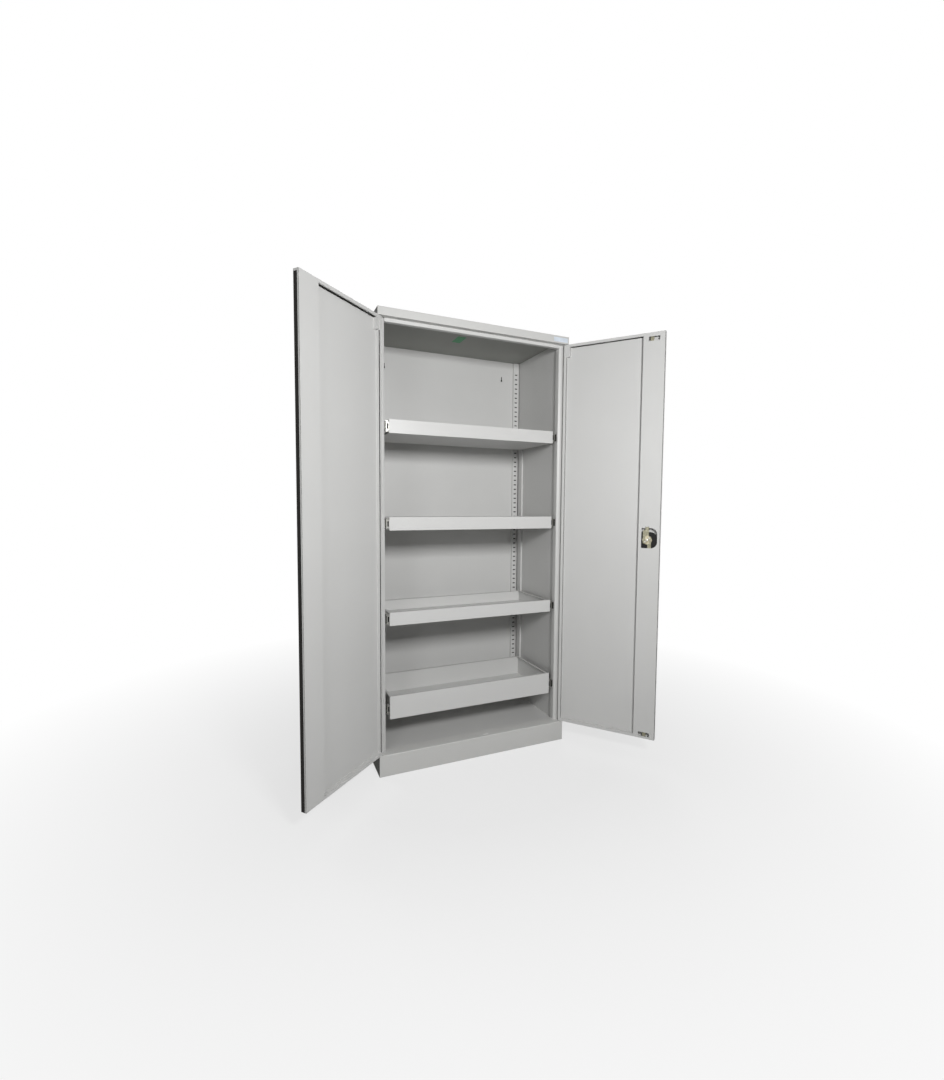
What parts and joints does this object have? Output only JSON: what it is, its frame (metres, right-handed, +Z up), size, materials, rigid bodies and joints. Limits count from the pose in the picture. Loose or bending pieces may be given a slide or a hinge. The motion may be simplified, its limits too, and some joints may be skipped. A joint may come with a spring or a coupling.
{
  "type": "two-door safety storage cabinet with pull-out trays",
  "caption": "Tall grey steel safety storage cabinet, both doors swung wide open on pull-out trays, with a turning-handle rod lock in the right door.",
  "frame": {"origin": "on the floor, midway between the sides and midway between the front and back faces", "axes": "+X to the right as the front is faced, +Y into the cabinet, +Z up"},
  "size_m": [1.5279, 0.8043, 1.95],
  "materials": {
    "outer_steel": "dark textured powder coat",
    "front_steel": "light grey powder coat, satin",
    "inner_steel": "light grey powder coat, satin",
    "tray_steel": "light grey powder coat, satin",
    "board": "pressed mineral board, matt",
    "seal": "matt black strip",
    "zinc": "zinc plated, faintly yellow",
    "brass": "yellow passivated disc",
    "black_plastic": "fine grained black plastic",
    "chrome": "nickel plated lock",
    "bush_plastic": "plain bearing plastic"
  },
  "bodies": {
    "cabinet": {"back_board": "board", "back_liner": "inner_steel", "back_rail_left": "inner_steel", "back_rail_right": "inner_steel", "back_skin": "outer_steel", "base_frame": "outer_steel", "ceiling_liner": "inner_steel", "fascia": "front_steel", "floor_pan": "inner_steel", "front_stile_left": "inner_steel", "front_stile_right": "inner_steel", "hinge_pins": "zinc", "plinth": "front_steel", "side_board_left": "board", "side_board_right": "board", "side_liner_left": "inner_steel", "side_liner_right": "inner_steel", "side_skin_left": "outer_steel", "side_skin_right": "outer_steel", "slide_brackets": "zinc", "slide_outers": "zinc", "slide_post_left": "inner_steel", "slide_post_right": "inner_steel", "top_board": "board", "top_rail": "inner_steel", "top_skin": "outer_steel"},
    "left_door": {"left_door_bushes": "bush_plastic", "left_door_edge_seal": "seal", "left_door_hinge_bracket": "inner_steel", "left_door_liner": "inner_steel", "left_door_pan": "front_steel"},
    "right_door": {"handle_dish": "black_plastic", "right_door_bushes": "bush_plastic", "right_door_edge_seal": "seal", "right_door_hinge_bracket": "inner_steel", "right_door_liner": "inner_steel", "right_door_pan": "front_steel", "rod_guides": "zinc"},
    "handle": {"cam_screw": "zinc", "grip_spindle": "zinc", "lock_cam": "brass", "lock_cylinder": "chrome", "turn_grip": "black_plastic"},
    "key": {"key_plug": "chrome"},
    "upper_rod": {"upper_rod": "zinc"},
    "lower_rod": {"lower_rod": "zinc"},
    "tray_1": {"tray_1": "tray_steel", "tray_1_slide_inner": "zinc"},
    "tray_1_middle": {"tray_1_slide_middle": "zinc"},
    "tray_2": {"tray_2": "tray_steel", "tray_2_slide_inner": "zinc"},
    "tray_2_middle": {"tray_2_slide_middle": "zinc"},
    "tray_3": {"tray_3": "tray_steel", "tray_3_slide_inner": "zinc"},
    "tray_3_middle": {"tray_3_slide_middle": "zinc"},
    "tray_4": {"tray_4": "tray_steel", "tray_4_slide_inner": "zinc"},
    "tray_4_middle": {"tray_4_slide_middle": "zinc"}
  },
  "joints": [
    {"name": "left_door_hinge", "type": "hinge", "parent": "cabinet", "child": "left_door", "pos_m": [-0.4475, -0.2197, 1], "axis": [0, 0, -1], "range_deg": [-138.6, 31.4]},
    {"name": "right_door_hinge", "type": "hinge", "parent": "cabinet", "child": "right_door", "pos_m": [0.4475, -0.2197, 1], "axis": [0, 0, 1], "range_deg": [-129, 41]},
    {"name": "handle_turn", "type": "hinge", "parent": "right_door", "child": "handle", "pos_m": [0.7032, -0.51512, 1.0045], "axis": [-0.7771, -0.6293, 0], "range_deg": [-90, 0]},
    {"name": "key_turn", "type": "hinge", "parent": "handle", "child": "key", "pos_m": [0.7032, -0.51512, 1.0045], "axis": [-0.7771, -0.6293, 0], "range_deg": [0, 90]},
    {"name": "upper_rod_slide", "type": "slide", "parent": "right_door", "child": "upper_rod", "axis": [0, 0, -1], "range_m": [-0.01697, 0]},
    {"name": "lower_rod_slide", "type": "slide", "parent": "right_door", "child": "lower_rod", "axis": [0, 0, 1], "range_m": [-0.01697, 0]},
    {"name": "tray_1_slide", "type": "slide", "parent": "cabinet", "child": "tray_1", "axis": [0, -1, 0], "range_m": [0, 0.3]},
    {"name": "tray_1_middle_slide", "type": "slide", "parent": "cabinet", "child": "tray_1_middle", "axis": [0, -1, 0], "range_m": [0, 0.15]},
    {"name": "tray_2_slide", "type": "slide", "parent": "cabinet", "child": "tray_2", "axis": [0, -1, 0], "range_m": [0, 0.3]},
    {"name": "tray_2_middle_slide", "type": "slide", "parent": "cabinet", "child": "tray_2_middle", "axis": [0, -1, 0], "range_m": [0, 0.15]},
    {"name": "tray_3_slide", "type": "slide", "parent": "cabinet", "child": "tray_3", "axis": [0, -1, 0], "range_m": [0, 0.3]},
    {"name": "tray_3_middle_slide", "type": "slide", "parent": "cabinet", "child": "tray_3_middle", "axis": [0, -1, 0], "range_m": [0, 0.15]},
    {"name": "tray_4_slide", "type": "slide", "parent": "cabinet", "child": "tray_4", "axis": [0, -1, 0], "range_m": [0, 0.3]},
    {"name": "tray_4_middle_slide", "type": "slide", "parent": "cabinet", "child": "tray_4_middle", "axis": [0, -1, 0], "range_m": [0, 0.15]}
  ],
  "couplings": [
    {"joint": "lower_rod_slide", "follows": "upper_rod_slide", "ratio": 1},
    {"joint": "handle_turn", "follows": "upper_rod_slide", "rad_per_m": 92.56},
    {"joint": "tray_1_middle_slide", "follows": "tray_1_slide", "ratio": 0.5},
    {"joint": "tray_2_middle_slide", "follows": "tray_2_slide", "ratio": 0.5},
    {"joint": "tray_3_middle_slide", "follows": "tray_3_slide", "ratio": 0.5},
    {"joint": "tray_4_middle_slide", "follows": "tray_4_slide", "ratio": 0.5}
  ]
}
